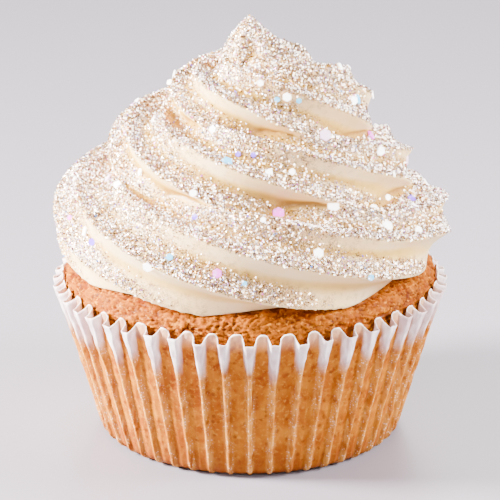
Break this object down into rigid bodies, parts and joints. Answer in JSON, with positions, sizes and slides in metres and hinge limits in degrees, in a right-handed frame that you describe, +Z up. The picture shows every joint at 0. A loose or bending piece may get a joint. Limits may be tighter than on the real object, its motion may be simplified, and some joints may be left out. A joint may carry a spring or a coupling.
{
  "type": "cupcake",
  "caption": "Cupcake in a fluted paper case, topped with a piped swirl of cream buttercream dusted with pearly glitter.",
  "frame": {"origin": "centre of the flat base of the paper case, where it rests on a table", "axes": "+Z up along the cupcake's middle, -Y towards the side that the picture shows, +X to its right"},
  "size_m": [0.0706, 0.0704, 0.076],
  "materials": {
    "greaseproof_paper": "thin white baking paper, golden where the cake shows through it",
    "sponge": "golden brown crumb",
    "buttercream": "smooth ivory cream under fine pearly glitter"
  },
  "bodies": {
    "root": {"paper_case": "greaseproof_paper", "sponge": "sponge", "buttercream": "buttercream"}
  },
  "joints": []
}
